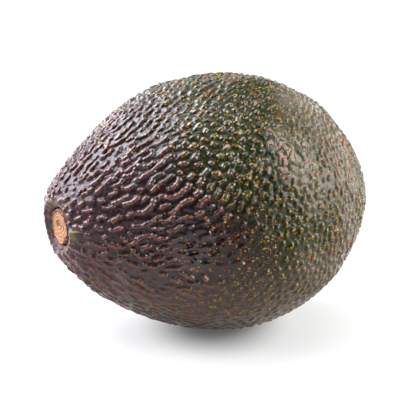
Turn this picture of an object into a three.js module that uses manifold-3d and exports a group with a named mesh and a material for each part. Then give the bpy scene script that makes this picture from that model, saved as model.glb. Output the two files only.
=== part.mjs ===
// A ripe pebble-skinned avocado lying on its side, with the woody stub of its stalk left in the stem end.
// Millimetres, +Z up. +X runs from the stem end to the blossom end and the fruit rests on Z = 0.
import * as THREE from "three";
import { ConvexHull } from "three/addons/math/ConvexHull.js";
import { mergeVertices } from "three/addons/utils/BufferGeometryUtils.js";
import Module from "manifold-3d";

const { lerp, smoothstep, degToRad, seededRandom } = THREE.MathUtils;

// The fruit's body: an egg drawn out towards the stem, with the stem end bent up a little from the axis
const FRUIT_LENGTH = 92.8;
const MIDDLE_RADIUS = 35;
const NECK_TAPER = 0.153; // share by which the stem half is slimmer and the blossom half is fuller
const END_TAPER = 0.123; // share by which both ends draw in
const SHOULDER_SHARE = 0.03; // share that the stem's shoulder keeps
const NECK_LIFT = 3;

// How it lies: the stem end points down a little, and the underside is pressed flat where it rests
const STEM_DIP = degToRad(4);
const REST_DEPTH = 1.15;

// The dimple round the stem: a flat floor, then a collar of folded skin
const DIMPLE_DEPTH = 3;
const DIMPLE_FLOOR_RADIUS = 4.9;
const DIMPLE_RIM_RADIUS = 7.8;
const FOLD_HEIGHT = 0.45;
const FOLD_COUNTS = [7, 11]; // waves round the stem that add up to uneven folds
const FOLD_FADE_RADIUS = 19;

// The pebbles of the skin: long ones in rows down the stem half, short round ones on the blossom half
const PEBBLE_HEIGHT = 0.85;
const COLLAR_PEBBLE = { length: 1.9, width: 2.1 };
const STEM_PEBBLE = { length: 5.3, width: 2.8 };
const BLOSSOM_PEBBLE = { length: 4.1, width: 3.2 };
const PEBBLE_FADE_RADIUS = 13; // the relief grows from nothing at the dimple's rim to full at this radius
const FEWEST_IN_RING = 5;
const RIDGE_SHARE = 0.2; // each end of a pebble's ridge lies this share of the length from its middle
const STRAY_SHARE = 0.24; // share of its own size that a pebble strays from its row
const UNEVEN_SHARE = 0.2; // share of the height by which one pebble may be lower than another
const BLOSSOM_SCAR_DEPTH = 1.2;
const SEED = 41;

// The stalk's stub: bark round wood, with a growth ring and the pit of the pith on its cut face
const BUTTON_RADIUS = 4.9;
const BUTTON_PROUD = 0.3; // above the dimple's floor
const BUTTON_ROOT = 2.2; // below the dimple's floor
const BARK_THICKNESS = 0.5;
const RING_RADIUS = 2.4;
const RING_WIDTH = 0.35;
const PITH_RADIUS = 0.9;
const FACE_RELIEF = 0.12; // the rings stand this much above or below the cut face
const BUTTON_SIDES = 36;
const SOCKET_GAP = 0.3;

const halfLength = FRUIT_LENGTH / 2;
const dimpleFloor = DIMPLE_DEPTH - halfLength;
const wasm = await Module();
wasm.setup();

function toSolid(geometry) {
  const bare = new THREE.BufferGeometry();
  bare.setAttribute("position", geometry.getAttribute("position"));
  bare.setIndex(geometry.getIndex());
  const merged = mergeVertices(bare);
  return new wasm.Manifold(
    new wasm.Mesh({
      numProp: 3,
      vertProperties: new Float32Array(merged.getAttribute("position").array),
      triVerts: new Uint32Array(merged.getIndex().array),
    }),
  );
}

function toGeometry(solid) {
  const mesh = solid.getMesh();
  const geometry = new THREE.BufferGeometry();
  geometry.setAttribute("position", new THREE.BufferAttribute(mesh.vertProperties, 3));
  geometry.setIndex(new THREE.BufferAttribute(mesh.triVerts, 1));
  geometry.computeVertexNormals();
  return geometry;
}

// The egg's radius before its ends close over, where c is the cosine of the polar angle from the stem end
function girth(c) {
  return MIDDLE_RADIUS * (1 - NECK_TAPER * c - END_TAPER * c ** 2 + SHOULDER_SHARE * c ** 3);
}

function radiusAt(polar) {
  return girth(Math.cos(polar)) * Math.sin(polar);
}

// Millimetres of skin along a meridian for each radian of polar angle
function meridianStep(polar) {
  const small = 1e-3;
  const outward = (radiusAt(polar + small) - radiusAt(polar - small)) / (2 * small);
  return Math.hypot(halfLength * Math.sin(polar), outward);
}

// Unit direction of a place on the fruit: polar angle from the stem end, turn about the long axis
function direction(polar, turn) {
  const ring = Math.sin(polar);
  return new THREE.Vector3(-Math.cos(polar), ring * Math.cos(turn), ring * Math.sin(turn));
}

// Height of the folds of skin that gather round the stem
function foldHeight(radius, turn) {
  const rise = smoothstep(radius, DIMPLE_FLOOR_RADIUS, DIMPLE_RIM_RADIUS);
  const fall = 1 - smoothstep(radius, DIMPLE_RIM_RADIUS, FOLD_FADE_RADIUS);
  const waves = FOLD_COUNTS.map((count, i) => Math.cos(count * turn + i));
  const wave = waves.reduce((sum, one) => sum + one, 0) / waves.length;
  return FOLD_HEIGHT * rise * fall * wave;
}

// A place on the skin, raised by lift from the smooth egg, with the stem's dimple and folds
function skinPoint(way, lift) {
  const c = -way.x;
  const radius = girth(c);
  const point = new THREE.Vector3(halfLength * way.x, radius * way.y, radius * way.z);
  const outward = new THREE.Vector3(way.x / halfLength, way.y / radius, way.z / radius).normalize();
  if (c > 0) {
    const fromAxis = Math.hypot(point.y, point.z);
    const shoulder = smoothstep(fromAxis, DIMPLE_FLOOR_RADIUS, DIMPLE_RIM_RADIUS);
    point.x = lerp(dimpleFloor, point.x, shoulder);
    point.addScaledVector(outward, foldHeight(fromAxis, Math.atan2(way.z, way.y)));
  }
  point.addScaledVector(outward, lift);
  point.z += NECK_LIFT * ((1 + c) / 2) ** 2;
  return point;
}

// How far the skin at a polar angle has changed from the bare collar at the stem to full pebbles
function pebbled(polar) {
  if (polar > Math.PI / 2) {
    return 1;
  }
  return smoothstep(radiusAt(polar), DIMPLE_RIM_RADIUS, PEBBLE_FADE_RADIUS);
}

// Length along the meridian, or width round the fruit, of a pebble at a polar angle
function pebbleSize(polar, side) {
  const towardsBlossom = smoothstep(polar, Math.PI / 4, (3 * Math.PI) / 4);
  const grown = lerp(STEM_PEBBLE[side], BLOSSOM_PEBBLE[side], towardsBlossom);
  return lerp(COLLAR_PEBBLE[side], grown, pebbled(polar));
}

// Polar angle that a pebble at a polar angle takes up
function pebbleSpan(polar) {
  return pebbleSize(polar, "length") / meridianStep(polar);
}

function stray() {
  return STRAY_SHARE * (2 * seededRandom() - 1);
}

// Pebbles in rings from the stem end to the blossom end, each strayed a little from its place
function pebblePlaces() {
  const places = [{ polar: 0, turn: 0 }];
  const last = Math.PI - pebbleSpan(Math.PI) / 2;
  let polar = pebbleSpan(0);
  while (polar < last) {
    const around = (2 * Math.PI * radiusAt(polar)) / pebbleSize(polar, "width");
    const count = Math.max(FEWEST_IN_RING, Math.round(around));
    const start = seededRandom();
    for (let i = 0; i < count; i++) {
      places.push({
        polar: polar + stray() * pebbleSpan(polar),
        turn: ((i + start + stray()) * 2 * Math.PI) / count,
      });
    }
    polar += pebbleSpan(polar);
  }
  places.push({ polar: Math.PI, turn: 0 });
  return places;
}

// The valleys of the skin, one in the middle of every three neighbouring pebbles
function pebbleValleys(hull, points) {
  const valleys = new Map();
  for (const face of hull.faces) {
    const middle = new THREE.Vector3();
    for (const edge of [face.edge, face.edge.next, face.edge.prev]) {
      middle.add(edge.head().point);
    }
    middle.normalize();
    const polar = Math.acos(-middle.x);
    valleys.set(face, { index: points.length, polar });
    points.push(skinPoint(middle, -PEBBLE_HEIGHT * pebbled(polar)));
  }
  return valleys;
}

// One edge of the hull that ends at each pebble's middle
function edgesByPebble(hull) {
  const edges = new Map();
  for (const face of hull.faces) {
    for (const edge of [face.edge, face.edge.next, face.edge.prev]) {
      edges.set(edge.head().point, edge);
    }
  }
  return edges;
}

// Adds a pebble's ridge to the points and gives the index of its stem end and of its blossom end
function pebbleRidge({ polar, turn }, points) {
  const first = points.length;
  if (polar === 0 || polar === Math.PI) {
    points.push(skinPoint(direction(polar, turn), polar === 0 ? 0 : -BLOSSOM_SCAR_DEPTH));
    return [first, first];
  }
  const half = RIDGE_SHARE * pebbleSpan(polar);
  const lift = -UNEVEN_SHARE * PEBBLE_HEIGHT * pebbled(polar) * seededRandom();
  points.push(skinPoint(direction(polar - half, turn), lift));
  points.push(skinPoint(direction(polar + half, turn), lift));
  return [first, first + 1];
}

// The skin as one closed surface: every pebble is a hipped ridge that falls to the valleys round it
function pebbledSkin() {
  seededRandom(SEED);
  const places = pebblePlaces();
  const middles = places.map(({ polar, turn }) => direction(polar, turn));
  const hull = new ConvexHull().setFromPoints(middles);
  const points = [];
  const triangles = [];
  const valleys = pebbleValleys(hull, points);
  const edges = edgesByPebble(hull);
  places.forEach((place, i) => {
    const [stemEnd, blossomEnd] = pebbleRidge(place, points);
    const around = [];
    const first = edges.get(middles[i]);
    let edge = first;
    do {
      const valley = valleys.get(edge.face);
      const ridge = valley.polar < place.polar ? stemEnd : blossomEnd;
      around.unshift({ valley: valley.index, ridge });
      edge = edge.next.twin;
    } while (edge !== first);
    around.forEach((here, k) => {
      const next = around[(k + 1) % around.length];
      triangles.push(here.ridge, here.valley, next.valley);
      if (here.ridge !== next.ridge) {
        triangles.push(here.ridge, next.valley, next.ridge);
      }
    });
  });
  return { points, triangles };
}

// Presses the skin that reaches below the resting height flat onto it, and gives that height
function pressFlat(points) {
  const up = new THREE.Vector3(Math.sin(STEM_DIP), 0, Math.cos(STEM_DIP));
  const rest = Math.min(...points.map((point) => up.dot(point))) + REST_DEPTH;
  for (const point of points) {
    point.addScaledVector(up, Math.max(0, rest - up.dot(point)));
  }
  return rest;
}

// A bore along the fruit's axis, from outside the stem end to the foot of the button's socket
function socketBore() {
  const radius = BUTTON_RADIUS + SOCKET_GAP;
  const foot = dimpleFloor + BUTTON_ROOT + SOCKET_GAP;
  const bore = new THREE.CylinderGeometry(radius, radius, halfLength, BUTTON_SIDES);
  return bore.rotateZ(Math.PI / 2).translate(foot - halfLength / 2, 0, NECK_LIFT);
}

// The button turned about +Y, with its cut face at the top
function buttonGeometry() {
  const woodRadius = BUTTON_RADIUS - BARK_THICKNESS;
  const low = BUTTON_PROUD - FACE_RELIEF;
  const high = BUTTON_PROUD + FACE_RELIEF;
  const profile = [
    [0, -BUTTON_ROOT],
    [woodRadius, -BUTTON_ROOT],
    [BUTTON_RADIUS, -BUTTON_ROOT / 2],
    [BUTTON_RADIUS, low],
    [BUTTON_RADIUS - BARK_THICKNESS / 2, BUTTON_PROUD],
    [woodRadius, low],
    [woodRadius - BARK_THICKNESS / 2, BUTTON_PROUD],
    [RING_RADIUS + RING_WIDTH, high],
    [RING_RADIUS, low],
    [RING_RADIUS - RING_WIDTH, high],
    [PITH_RADIUS, high],
    [0, low],
  ];
  const outline = profile.map(([radius, height]) => new THREE.Vector2(radius, height));
  return new THREE.LatheGeometry(outline, BUTTON_SIDES);
}

function fruitMesh({ points, triangles }) {
  const whole = new THREE.BufferGeometry().setFromPoints(points).setIndex(triangles);
  const socketed = toSolid(whole).subtract(toSolid(socketBore()));
  const skin = new THREE.MeshStandardMaterial({ color: 0x2f2a26, roughness: 0.45, metalness: 0 });
  const mesh = new THREE.Mesh(toGeometry(socketed), skin);
  mesh.name = "fruit";
  return mesh;
}

function buttonMesh() {
  const wood = new THREE.MeshStandardMaterial({ color: 0xa9763f, roughness: 0.85, metalness: 0 });
  const mesh = new THREE.Mesh(buttonGeometry(), wood);
  mesh.name = "stem_button";
  mesh.rotation.z = Math.PI / 2;
  mesh.position.set(dimpleFloor, 0, NECK_LIFT);
  return mesh;
}

const skinShape = pebbledSkin();
const restHeight = pressFlat(skinShape.points);
const lying = new THREE.Group();
lying.add(fruitMesh(skinShape), buttonMesh());
lying.rotation.y = -STEM_DIP;
const middle = new THREE.Box3().setFromObject(lying, true).getCenter(new THREE.Vector3());
lying.position.set(-middle.x, -middle.y, -restHeight);

const avocado = new THREE.Group();
avocado.name = "avocado";
avocado.add(lying);

export default avocado;
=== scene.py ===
import math
import bpy
import numpy as np
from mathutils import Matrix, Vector


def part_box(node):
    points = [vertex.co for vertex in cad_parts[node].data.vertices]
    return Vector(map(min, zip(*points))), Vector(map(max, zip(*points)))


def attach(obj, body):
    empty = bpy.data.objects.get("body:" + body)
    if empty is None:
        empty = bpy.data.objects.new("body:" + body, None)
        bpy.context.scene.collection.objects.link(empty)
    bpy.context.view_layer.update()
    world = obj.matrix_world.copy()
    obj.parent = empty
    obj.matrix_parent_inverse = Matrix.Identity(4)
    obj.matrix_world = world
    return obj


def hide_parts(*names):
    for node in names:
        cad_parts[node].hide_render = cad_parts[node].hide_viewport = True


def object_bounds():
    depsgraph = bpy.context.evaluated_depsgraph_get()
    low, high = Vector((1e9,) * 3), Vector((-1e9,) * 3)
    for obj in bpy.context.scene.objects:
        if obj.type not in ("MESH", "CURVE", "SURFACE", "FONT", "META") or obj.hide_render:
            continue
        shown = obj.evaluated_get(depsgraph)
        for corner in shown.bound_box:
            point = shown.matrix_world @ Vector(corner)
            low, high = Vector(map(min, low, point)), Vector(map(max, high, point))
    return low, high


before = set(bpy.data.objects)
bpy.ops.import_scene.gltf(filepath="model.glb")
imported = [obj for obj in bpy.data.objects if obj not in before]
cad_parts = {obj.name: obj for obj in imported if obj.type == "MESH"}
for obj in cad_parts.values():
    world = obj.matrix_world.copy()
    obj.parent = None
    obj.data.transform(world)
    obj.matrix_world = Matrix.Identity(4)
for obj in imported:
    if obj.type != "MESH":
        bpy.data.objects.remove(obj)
cadLow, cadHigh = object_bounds()
mm = 0.001
print("frame loaded:", sorted(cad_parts))


def addObject(name, data):
    thing = bpy.data.objects.new(name, data)
    bpy.context.scene.collection.objects.link(thing)
    return thing


def lookAlong(thing, place, way):
    thing.location = place
    thing.rotation_mode = "QUATERNION"
    thing.rotation_quaternion = way.to_track_quat("-Z", "Y")


# camera, at the photo's angle

photoView = {
    "azimuth": math.radians(-29.35),  # stem end turned towards the camera
    "elevation": math.radians(13),
    "distance": 650 * mm,
    "widthAtFruit": 114.24 * mm,  # what the picture's width covers at the fruit's middle
    "aimRight": 1.14 * mm,  # from the middle of the fruit's box
    "aimUp": -2.65 * mm,
    "sensor": 36,
}


def viewAxes(azimuth, elevation):
    right = Vector((math.cos(azimuth), math.sin(azimuth), 0))
    back = Vector((math.sin(azimuth) * math.cos(elevation),
                   -math.cos(azimuth) * math.cos(elevation),
                   math.sin(elevation)))
    return right, back.cross(right), back


def makeCamera(view):
    right, up, back = viewAxes(view["azimuth"], view["elevation"])
    aim = (cadLow + cadHigh) / 2 + right * view["aimRight"] + up * view["aimUp"]
    data = bpy.data.cameras.new("photoCamera")
    data.sensor_width = view["sensor"]
    data.lens = view["sensor"] * view["distance"] / view["widthAtFruit"]
    data.clip_start = 10 * mm
    data.clip_end = 100
    camera = addObject("photoCamera", data)
    lookAlong(camera, aim + back * view["distance"], -back)
    bpy.context.scene.camera = camera


makeCamera(photoView)
print("camera made")


# shared numpy helpers

def smoothStep(x, low, high):
    t = np.clip((x - low) / (high - low), 0, 1)
    return t * t * (3 - 2 * t)


def mix(a, b, t):
    return a + (b - a) * t


def bell(x, middle, width):
    return np.exp(-((x - middle) / width) ** 2)


def unit(vectors):
    return vectors / np.linalg.norm(vectors, axis=1)[:, None]


def dotRows(a, b):
    return np.einsum("ij,ij->i", a, b)


def inMm(*values):
    return tuple(v * mm for v in values)


def ripple(points, wavelength, seed, waves=9):  # soft random field, about -1 to 1
    draw = np.random.default_rng(seed)
    total = np.zeros(len(points))
    for _ in range(waves):
        way = draw.normal(size=3)
        way *= draw.uniform(0.7, 1.4) / np.linalg.norm(way)
        total += np.sin(points @ way * (2 * math.pi / wavelength) + draw.uniform(0, 2 * math.pi))
    return total * math.sqrt(2 / waves) / 1.5


# the fruit's form, the same egg as the CAD fruit

eggForm = {
    "length": 92.8 * mm,
    "middleRadius": 35 * mm,
    "neckTaper": 0.153,
    "endTaper": 0.123,
    "shoulderShare": 0.03,
    "neckLift": 3 * mm,
    "stemDip": math.radians(4),
}

stemDimple = {
    "depth": 3 * mm,
    "drop": 0.6 * mm,  # the stalk sits a little under the egg's own axis
    "floorRadius": 5.3 * mm,
    "rimRadius": 7.8 * mm,
    "socketRadius": 5.25 * mm,
    "socketWall": 0.5 * mm,
    "socketDepth": 1.6 * mm,
    "buttonMiddle": 0.89 * mm,  # how far the CAD button's middle lies inside the dimple's floor
    "collarRadius": 5.75 * mm,
    "collarWidth": 0.3 * mm,
    "collarHeight": 0.3 * mm,
    "underTurn": math.radians(258),  # folds and bare skin lie mostly under the stalk
    "underSlope": (0.25, 0.85),  # cosine of the turn from there, where they begin and are full
    "foldHeight": 0.45 * mm,
    "foldCount": 18,
    "foldFade": 26 * mm,
    "foldWander": ((0.07, 3, 1), (0.05, 5, 2)),  # uneven spacing: size, waves round the stalk and start
    "foldSway": (0.1, 5 * mm),  # and a sway outwards: size and radius
    "foldShareAbove": 0.25,
    "foldHighlight": (0.45, 0.9),  # how sharp an edge begins to take the painted highlight and takes it fully
    "streakHeight": 0.16 * mm,  # fine lines along the skin under the stalk
    "streakSize": 1.7 * mm,
    "streakFade": inMm(12, 30),
    # painted highlights along thin lines under the stalk: their width and strength
    "hairlineWidth": 0.16,
    "hairlineHighlight": 0.6,
    "bareAbove": inMm(5.6, 7.6),  # no pebbles inside the first radius, full ones from the second on
    "bareUnder": inMm(7.0, 13.0),
    "bareFar": inMm(8.0, 24.0),  # on the side turned from the camera
    "farTurn": math.radians(-15),
    "farSlope": (0.2, 0.8),
    "farShare": 0.3,  # of the pebbles' height, close to the stalk on that side
    "lobeTurn": math.radians(182),
    "lobeWidth": math.radians(11),
    "lobeStart": inMm(6.0, 8.2),
    "lobeHeight": 0.85 * mm,
    "lobeFade": 20 * mm,
    "lobeBare": 0.9,  # share of the pebbles' height that it smooths away
    "lobeEdge": (0.45, 0.13),  # a painted highlight lies along it at this share of its height, and how wide a band
    "lobeEdgeFade": inMm(7.5, 11),
    "lobeEdgeHighlight": 0.35,
    "lobeTip": (0.4, 0.75),  # the green tip at its start
    "lobeTipFade": inMm(8, 11),
    "strawRim": inMm(6.8, 1.2),  # pale dry skin above the stalk: radius and width
    "strawSlope": (0.5, 0.9),
    "strawStreaks": (-0.4, 0.7),
    "collarTurn": math.radians(205),  # the collar is dry too, towards this turn
    "collarSlope": (0.3, 0.8),
}

pebbleRows = {  # from stem to blossom end, at these shares of the polar angle
    "share": (0.06, 0.14, 0.30, 0.37, 0.445, 0.52, 0.60, 0.75, 0.88, 0.97),
    "length": inMm(2.5, 3.6, 5.0, 4.4, 3.5, 3.2, 2.9, 3.8, 4.4, 2.6),  # room along each pebble
    "width": inMm(1.75, 2.4, 2.9, 2.7, 2.4, 2.3, 2.2, 1.8, 1.5, 1.6),  # room across it
    "spare": 1.07,  # a little more room than that while they settle
    "topSlope": (0.25, 0.85),  # how far up the skin faces where the upper side begins and is full
    "roomOnTop": 0.86,  # share of that room on the fruit's upper side
    "sizeOnTop": 0.94,
    "closeFrom": (0.16, 0.36),  # shares of the polar angle from which these two hold
    "height": inMm(0.5, 0.76, 0.9, 0.84, 0.7, 0.66, 0.58, 0.48, 0.42, 0.34),
    "heightOnTop": 0.72,
    "lean": tuple(math.radians(v) for v in (0, 8, 15, 22, 40, 72, 86, 90, 90, 90)),  # off the meridian
    "leanOnTop": 0.3,  # share of that lean on the fruit's upper side
    "leanTopSlope": (0.35, 0.9),
    "leanUnder": 0.1,  # and under it, on the stem half
    "leanUnderSlope": (0.05, 0.45),
    "stemHalf": (0.45, 0.55),
    "leanStray": (0.2, 0.9),  # random lean, from the stem to the blossom end
    "leanStrayFrom": (0.82, 0.95),
    "chain": (1.15, 1.25, 1.3, 1.0, 0.75, 0.65, 0.55, 1.5, 1.9, 0.9),  # longest run of beads, in that room
    "beadSize": (0.8, 0.88, 0.98, 1.0, 0.98, 1.0, 1.02, 0.82, 0.72, 0.75),
    "roundness": 0.9,  # under 1 the pebbles stand on sharp feet
    "tipShare": (0.6, 0.8, 0.85, 0.85, 0.85, 0.9, 0.9, 0.85, 0.8, 0.8),
    "spiral": (0.14, 3.1),  # polar angles of the first and the last one
    "ends": (0.1, 3.1),  # and how far they may settle
    "stray": 0.5,  # in their width, before they settle
    "settleRounds": 25,
    "settleReach": 4.6 * mm,
    "settlePush": 0.25,
    "shortest": 0.2,  # shortest run of beads
    "bend": 0.12,
    "sizes": (0.8, 1.15),  # random share of the size and of the height
    "heights": (0.75, 1.15),
    "beadGap": 0.85 * mm,
    "beadLong": 0.98 * mm,
    "beadWide": 0.86 * mm,
    "beadStray": 0.1,  # aside, in mm
    "beadLengths": (0.9, 1.1),  # random share of each bead's length, width and height
    "beadWidths": (0.85, 1.1),
    "beadHeights": (0.8, 1.1),
    "bellyShare": 0.5,
    "bellyFade": (-0.85, -0.35),  # by the skin's slope, from straight down
    "blend": 6,  # the higher, the sharper the notch between two beads
    "seed": 7,
}

dotBeads = {  # small warts
    "spacing": 1.5 * mm,
    "radius": 0.5 * mm,
    "height": 0.16 * mm,
    "spiral": (0.2, 3.12),
    "stray": 0.8,
    "sizes": (0.7, 1.3),
    "longest": 1.6,
    "rise": (0.6, 1.6),  # polar angles where they begin and are full
    "tipShare": 0.6,
    "seed": 12,
}

platePatch = {  # where the pebbles run together into broad flat plates
    "middle": inMm(10.4, -30, 17.8),
    "inner": 2 * mm,
    "outer": 10.5 * mm,
    "height": 0.42 * mm,
    "heights": (0.6, 0.8),  # lowest share of that height, and what chance adds
    "crack": inMm(0.06, 0.3),
    "ragged": 2.2 * mm,
    "raggedSize": 6 * mm,
    "keep": 0.85,  # share of the pebbles' places that become plates
    "warp": 0.8 * mm,
    "warpSize": 2.6 * mm,
    "dots": 0.6,  # share of the warts' height left on the plates
    "seed": 41,
}

pitPatch = {  # where the skin between the pebbles stands up round small pits
    "middle": inMm(-13, -31.5, -4.5),
    "reach": inMm(17, 12, 8),
    "fade": (0.5, 1.1),  # in that reach
    "depth": 0.75,  # of the pebbles' height
    "lift": 0.9,  # of that height, for the skin between the pits
    "crest": 0.5,  # how far the skin between the pits counts as crest
}

blossomScar = {
    "radius": 1.5 * mm,
    "depth": 0.5 * mm,
    "lip": 0.25 * mm,
    "lipRing": (1.3, 0.4),  # its place and width, in that radius
    "lipBrown": 0.6,
}

formNudges = (  # small unevenness of the egg: place in the row's frame, reach and height, in mm
    ((-34, 12, 50), 10, -0.6),
    ((-27, 14, 55), 10, -0.4),
    ((-43.5, 7.5, 40), 6, 0.75),
    ((-31, -1, 12), 12, 0.4),
    ((7, 8, 68.7), 12, -0.5),
    ((-9, 11, 65.5), 8, 0.35),
    ((37.5, -14, 49.5), 12, -0.45),
    ((14.5, -15, 3), 12, -0.4),
)

skinRelief = {
    "perSide": 300,  # faces along each side of the cube that the skin starts from
    "atlasMargin": 0.004,
    "uneven": ((0.1, 2.6 * mm, 21), (0.06, 1.5 * mm, 22)),  # share of the pebbles' height, size and seed
    "sink": 0.8,  # the skin between the pebbles lies this much of their height inside the egg
    "swell": 0.25 * mm,
    "swellSize": 14 * mm,
}

skinZones = {  # along the fruit: where a finish begins and is full, tilt, wander of its border, size and seed
    "hue": (-44 * mm, 24 * mm, -0.3, 9 * mm, 25 * mm, 17),
    "green": (-22 * mm, 8 * mm, 0.35, 7 * mm, 34 * mm, 11),
    # the bloom, partly a waxy bloom and partly a painted sheen of the right-hand light
    "bloom": (7 * mm, 26 * mm, 0, 5 * mm, 20 * mm, 15),
    "bloomEnd": (29 * mm, 40 * mm, 0, 4 * mm, 12 * mm, 16),
    "matte": (-26 * mm, 4 * mm, -0.45, 4 * mm, 18 * mm, 19),
}

skinShares = {  # how strong other parts of the finish are
    "bloomEnd": 0.75,  # of the bloom and its painted sheen is gone there
    "belly": (0.1, 0.8),  # by how far down the skin faces, for the painted floor reflection and less wax there
    "roseAbove": 0.4,
    "fleckBare": 0.6,
    "fleckPlates": 0.5,
}


def girth(c):
    e = eggForm
    share = 1 - e["neckTaper"] * c - e["endTaper"] * c ** 2 + e["shoulderShare"] * c ** 3
    return e["middleRadius"] * share


def radiusAt(polar):
    return girth(np.cos(polar)) * np.sin(polar)


def meridianStep(polar):
    small = 1e-3
    outward = (radiusAt(polar + small) - radiusAt(polar - small)) / (2 * small)
    return np.hypot(eggForm["length"] / 2 * np.sin(polar), outward)


def wayTo(polar, turn):
    ring = np.sin(polar)
    return np.stack([-np.cos(polar), ring * np.cos(turn), ring * np.sin(turn)], axis=-1)


def eggPoints(ways):  # smooth egg and its outward normals
    half = eggForm["length"] / 2
    radius = girth(-ways[:, 0])
    points = np.stack([half * ways[:, 0], radius * ways[:, 1], radius * ways[:, 2]], axis=1)
    normals = np.stack([ways[:, 0] / half, ways[:, 1] / radius, ways[:, 2] / radius], axis=1)
    return points, unit(normals)


def cubeSphere(perSide, margin):  # directions, quads and an atlas with one square for each side of the cube
    line = np.tan(np.linspace(-1, 1, perSide + 1) * math.pi / 4)
    u, v = np.meshgrid(line, line, indexing="ij")
    one = np.ones_like(u)
    sides = [(one, u, v), (-one, v, u), (v, one, u), (u, -one, v), (u, v, one), (v, u, -one)]
    ways = unit(np.concatenate([np.stack(s, axis=-1).reshape(-1, 3) for s in sides]))
    _, first, back = np.unique(np.round(ways, 7), axis=0, return_index=True, return_inverse=True)
    count = perSide + 1
    i, j = np.meshgrid(np.arange(perSide), np.arange(perSide), indexing="ij")
    corner = (i * count + j).ravel()
    quad = np.stack([corner, corner + count, corner + count + 1, corner + 1], axis=1)
    quads = []
    atlas = []
    step = np.linspace(0, 1, count)
    su, sv = np.meshgrid(step, step, indexing="ij")
    flat = np.stack([su.ravel(), sv.ravel()], axis=1) * (1 - 2 * margin) + margin
    for side in range(6):
        quads.append(back.reshape(-1)[quad + side * count * count])
        place = np.array([side % 3, side // 3])
        atlas.append((flat[quad] + place) / np.array([3, 2]))
    return ways[first], np.concatenate(quads), np.concatenate(atlas)


def pebbleValue(name, polar):
    return np.interp(polar / math.pi, pebbleRows["share"], pebbleRows[name])


def spiralPlaces(areaAt, polar, end):  # from stem to blossom, each place with its own share of the skin
    golden = math.pi * (3 - math.sqrt(5))
    turn = 0.0
    while polar < end:
        yield polar, turn
        turn += golden
        polar += areaAt(polar) / (2 * math.pi * radiusAt(polar) * meridianStep(polar))


def plateShare(points):
    p = platePatch
    far = np.linalg.norm(points - np.array(p["middle"]), axis=1)
    ragged = p["ragged"] * ripple(points, p["raggedSize"], p["seed"] + 9)
    return 1 - smoothStep(far + ragged, p["inner"], p["outer"])


def nearPairs(points, middles, reach):  # each bead with the points near it, found through a grid of cells
    cells = np.floor(points / reach).astype(np.int64) + 500
    keys = (cells[:, 0] * 1000 + cells[:, 1]) * 1000 + cells[:, 2]
    order = np.argsort(keys, kind="stable")
    ordered = keys[order]
    home = np.floor(middles / reach).astype(np.int64) + 500
    beadIndex = []
    pointIndex = []
    for step in np.ndindex(3, 3, 3):
        cell = home + np.array(step) - 1
        key = (cell[:, 0] * 1000 + cell[:, 1]) * 1000 + cell[:, 2]
        first = np.searchsorted(ordered, key, "left")
        count = np.searchsorted(ordered, key, "right") - first
        owner = np.repeat(np.arange(len(middles)), count)
        offset = np.arange(count.sum()) - np.repeat(np.cumsum(count) - count, count)
        beadIndex.append(owner)
        pointIndex.append(order[first[owner] + offset])
    return np.concatenate(beadIndex), np.concatenate(pointIndex)


def pitShare(points):
    p = pitPatch
    far = np.linalg.norm((points - np.array(p["middle"])) / np.array(p["reach"]), axis=1)
    return 1 - smoothStep(far, *p["fade"])


def topShare(polar, turn):
    return smoothStep(np.sin(turn) * np.sin(polar), *pebbleRows["topSlope"])


def closeShare(polar, turn):  # where the upper side's pebbles stand closer
    return topShare(polar, turn) * smoothStep(polar / math.pi, *pebbleRows["closeFrom"])


def leanAt(polar, turn):
    rows = pebbleRows
    upward = np.sin(turn) * np.sin(polar)
    onTop = smoothStep(upward, *rows["leanTopSlope"])
    stemHalf = 1 - smoothStep(polar / math.pi, *rows["stemHalf"])
    under = smoothStep(-upward, *rows["leanUnderSlope"]) * stemHalf
    share = mix(1, rows["leanOnTop"], onTop) * mix(1, rows["leanUnder"], under)
    return pebbleValue("lean", polar) * share


def skinAxes(polar, turn, lean):  # places on the egg with a pebble's long and wide axes there
    middles, normals = eggPoints(wayTo(polar, turn))
    ahead, _ = eggPoints(wayTo(polar + 0.01, turn))
    along = unit(ahead - middles)
    aside = np.cross(normals, along)
    c = np.cos(lean)[:, None]
    s = np.sin(lean)[:, None]
    return middles, along * c + aside * s, aside * c - along * s


def moveOnSkin(polar, turn, lean, far, across):  # along and across the leaning pebble, in metres
    down = far * np.cos(lean) - across * np.sin(lean)
    side = far * np.sin(lean) + across * np.cos(lean)
    ring = np.maximum(radiusAt(polar), 3 * mm)
    return polar + down / meridianStep(polar), turn - side / ring


def pushApart(polar, turn):  # one round of settling: crowded pebbles move to even room
    rows = pebbleRows
    lean = leanAt(polar, turn)
    middles, longAxis, wideAxis = skinAxes(polar, turn, lean)
    first, second = nearPairs(middles, middles, rows["settleReach"])
    offset = middles[second] - middles[first]
    far = dotRows(offset, longAxis[first])
    across = dotRows(offset, wideAxis[first])
    room = rows["spare"] * mix(1, rows["roomOnTop"], closeShare(polar, turn))
    roomFar = (room * pebbleValue("length", polar))[first]
    roomAcross = (room * pebbleValue("width", polar))[first]
    apart = np.maximum(np.hypot(far / roomFar, across / roomAcross), 1e-6)
    crowded = (apart < 1) & (first != second)
    push = np.where(crowded, rows["settlePush"] * (1 - apart) / np.maximum(apart, 0.2), 0)
    moveFar = np.zeros(len(polar))
    moveAcross = np.zeros(len(polar))
    np.add.at(moveFar, first, -push * far)
    np.add.at(moveAcross, first, -push * across)
    polar, turn = moveOnSkin(polar, turn, lean, moveFar, moveAcross)
    return np.clip(polar, *rows["ends"]), turn


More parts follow.
